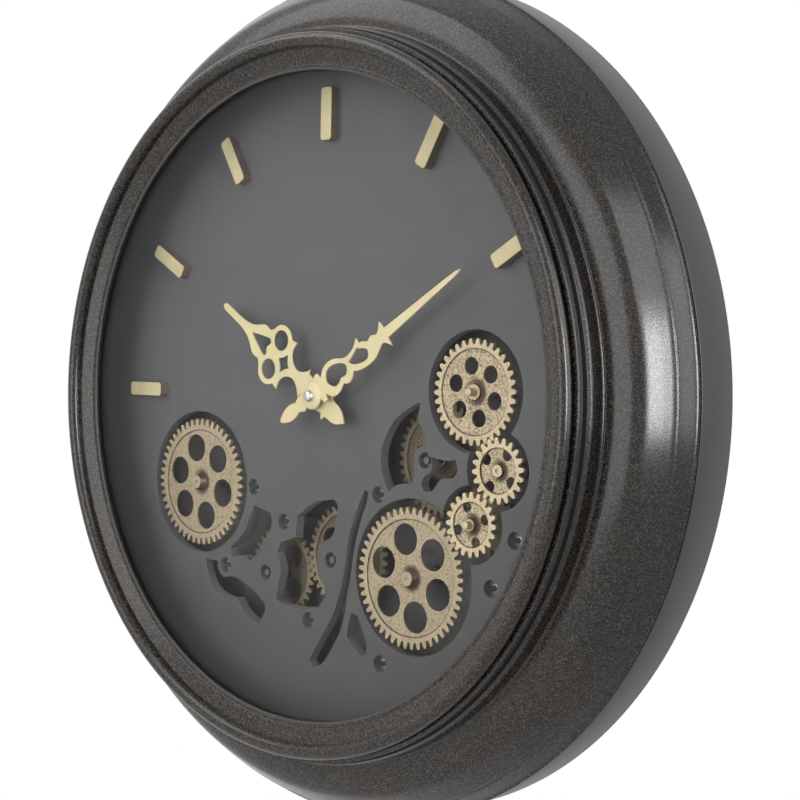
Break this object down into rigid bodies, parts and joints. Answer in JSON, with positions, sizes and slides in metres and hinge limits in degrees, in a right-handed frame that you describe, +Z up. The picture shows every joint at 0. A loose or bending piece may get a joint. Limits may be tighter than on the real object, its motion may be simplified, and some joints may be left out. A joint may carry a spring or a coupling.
{
  "type": "wall clock with exposed gears",
  "caption": "Round glazed wall clock with a stepped dark metal case, a pierced dial showing meshed gears, bar hour markers and ornate hands.",
  "frame": {"origin": "on the clock's axis, in the plane of the wall that the rear rim rests on", "axes": "+Z up towards 12 o'clock, +X towards 3 o'clock, -Y towards the room along the clock's axis"},
  "size_m": [0.46, 0.0787, 0.46],
  "materials": {
    "gunmetal": "spun metal with a fine hammered dark bronze-grey paint",
    "satin_grey": "smooth satin dark grey paint",
    "dial_grey": "satin dark grey with a faint grain",
    "antique_brass": "antiqued, pale on top and brown in the recesses",
    "pale_gold": "satin pale gold",
    "steel": "bright turned steel",
    "glass": "clear flat glass",
    "rubber": "matt black",
    "black_plastic": "matt black moulded",
    "grey_plastic": "matt grey moulded",
    "cell": "plain green-grey sleeve"
  },
  "bodies": {
    "case": {"bezel_ring": "gunmetal", "front_case": "gunmetal", "lens_gasket": "rubber", "glass_lens": "glass", "lens_retainer": "gunmetal", "side_band": "satin_grey", "plate_ledge": "satin_grey", "rear_ring": "satin_grey", "dial_plate": "dial_grey", "marker_9": "pale_gold", "marker_10": "pale_gold", "marker_11": "pale_gold", "marker_12": "pale_gold", "marker_1": "pale_gold", "marker_2": "pale_gold", "dial_screw_1": "steel", "dial_screw_2": "steel", "dial_screw_3": "steel", "dial_screw_4": "steel", "dial_screw_5": "steel", "dial_screw_6": "steel", "dial_screw_7": "steel", "dial_screw_8": "steel", "mechanism_plate": "black_plastic", "quartz_movement": "black_plastic", "movement_battery": "cell", "fixing_nut": "antique_brass", "drive_left": "black_plastic", "drive_main": "black_plastic", "drive_hidden_bottom": "black_plastic", "gear_battery_box": "black_plastic", "gear_battery_1": "cell", "gear_battery_2": "cell", "hanger_plate": "steel"},
    "hour": {"hour_hand": "pale_gold", "hour_pipe": "steel"},
    "minute": {"minute_hand": "pale_gold", "minute_arbor": "steel", "cap_nut": "steel"},
    "setting_knob": {"setting_knob": "grey_plastic"},
    "gear_left": {"wheel_left": "antique_brass", "arbor_left": "antique_brass"},
    "gear_main": {"wheel_main": "antique_brass", "arbor_main": "antique_brass"},
    "gear_idler_lower": {"wheel_idler_lower": "antique_brass", "arbor_idler_lower": "antique_brass"},
    "gear_idler_upper": {"wheel_idler_upper": "antique_brass", "arbor_idler_upper": "antique_brass"},
    "gear_upper_right": {"wheel_upper_right": "antique_brass", "arbor_upper_right": "antique_brass"},
    "gear_hidden_right": {"wheel_hidden_right": "antique_brass", "arbor_hidden_right": "antique_brass"},
    "gear_hidden_bottom": {"wheel_hidden_bottom": "antique_brass", "arbor_hidden_bottom": "antique_brass"},
    "gear_hidden_left": {"wheel_hidden_left": "antique_brass", "arbor_hidden_left": "antique_brass"},
    "battery_door": {"gear_battery_door": "black_plastic"},
    "switch": {"gear_switch": "grey_plastic"}
  },
  "joints": [
    {"name": "minute_turn", "type": "hinge", "parent": "case", "child": "minute", "pos_m": [0, 0, 0], "axis": [0, 1, 0], "continuous": true},
    {"name": "hour_turn", "type": "hinge", "parent": "case", "child": "hour", "pos_m": [0, 0, 0], "axis": [0, 1, 0], "continuous": true},
    {"name": "setting_turn", "type": "hinge", "parent": "case", "child": "setting_knob", "pos_m": [0, 0, 0], "axis": [0, 1, 0], "continuous": true},
    {"name": "turn_left", "type": "hinge", "parent": "case", "child": "gear_left", "pos_m": [-0.1066, 0, -0.0536], "axis": [0, 1, 0], "continuous": true},
    {"name": "turn_main", "type": "hinge", "parent": "case", "child": "gear_main", "pos_m": [0.0646, 0, -0.0929], "axis": [0, 1, 0], "continuous": true},
    {"name": "turn_idler_lower", "type": "hinge", "parent": "case", "child": "gear_idler_lower", "pos_m": [0.1057, 0, -0.0617], "axis": [0, 1, 0], "continuous": true},
    {"name": "turn_idler_upper", "type": "hinge", "parent": "case", "child": "gear_idler_upper", "pos_m": [0.1214, 0, -0.0337], "axis": [0, 1, 0], "continuous": true},
    {"name": "turn_upper_right", "type": "hinge", "parent": "case", "child": "gear_upper_right", "pos_m": [0.1051, 0, 0.005], "axis": [0, 1, 0], "continuous": true},
    {"name": "turn_hidden_right", "type": "hinge", "parent": "case", "child": "gear_hidden_right", "pos_m": [0.0724, 0, -0.0312], "axis": [0, 1, 0], "continuous": true},
    {"name": "turn_hidden_bottom", "type": "hinge", "parent": "case", "child": "gear_hidden_bottom", "pos_m": [0.0043, 0, -0.0893], "axis": [0, 1, 0], "continuous": true},
    {"name": "turn_hidden_left", "type": "hinge", "parent": "case", "child": "gear_hidden_left", "pos_m": [-0.0481, 0, -0.1014], "axis": [0, 1, 0], "continuous": true},
    {"name": "battery_door_swing", "type": "hinge", "parent": "case", "child": "battery_door", "pos_m": [-0.084, -0.002, 0.0774], "axis": [1, 0, 0], "range_deg": [0, 110]},
    {"name": "switch_slide", "type": "slide", "parent": "case", "child": "switch", "axis": [0, 0, 1], "range_m": [0, 0.0034]}
  ],
  "couplings": [
    {"joint": "hour_turn", "follows": "minute_turn", "ratio": 0.083333},
    {"joint": "setting_turn", "follows": "minute_turn", "ratio": -1},
    {"joint": "turn_idler_lower", "follows": "turn_main", "ratio": -2.4},
    {"joint": "turn_idler_upper", "follows": "turn_main", "ratio": 2.4},
    {"joint": "turn_upper_right", "follows": "turn_main", "ratio": -1.4118},
    {"joint": "turn_hidden_right", "follows": "turn_main", "ratio": 1.2632},
    {"joint": "turn_hidden_left", "follows": "turn_hidden_bottom", "ratio": -1.1875}
  ]
}
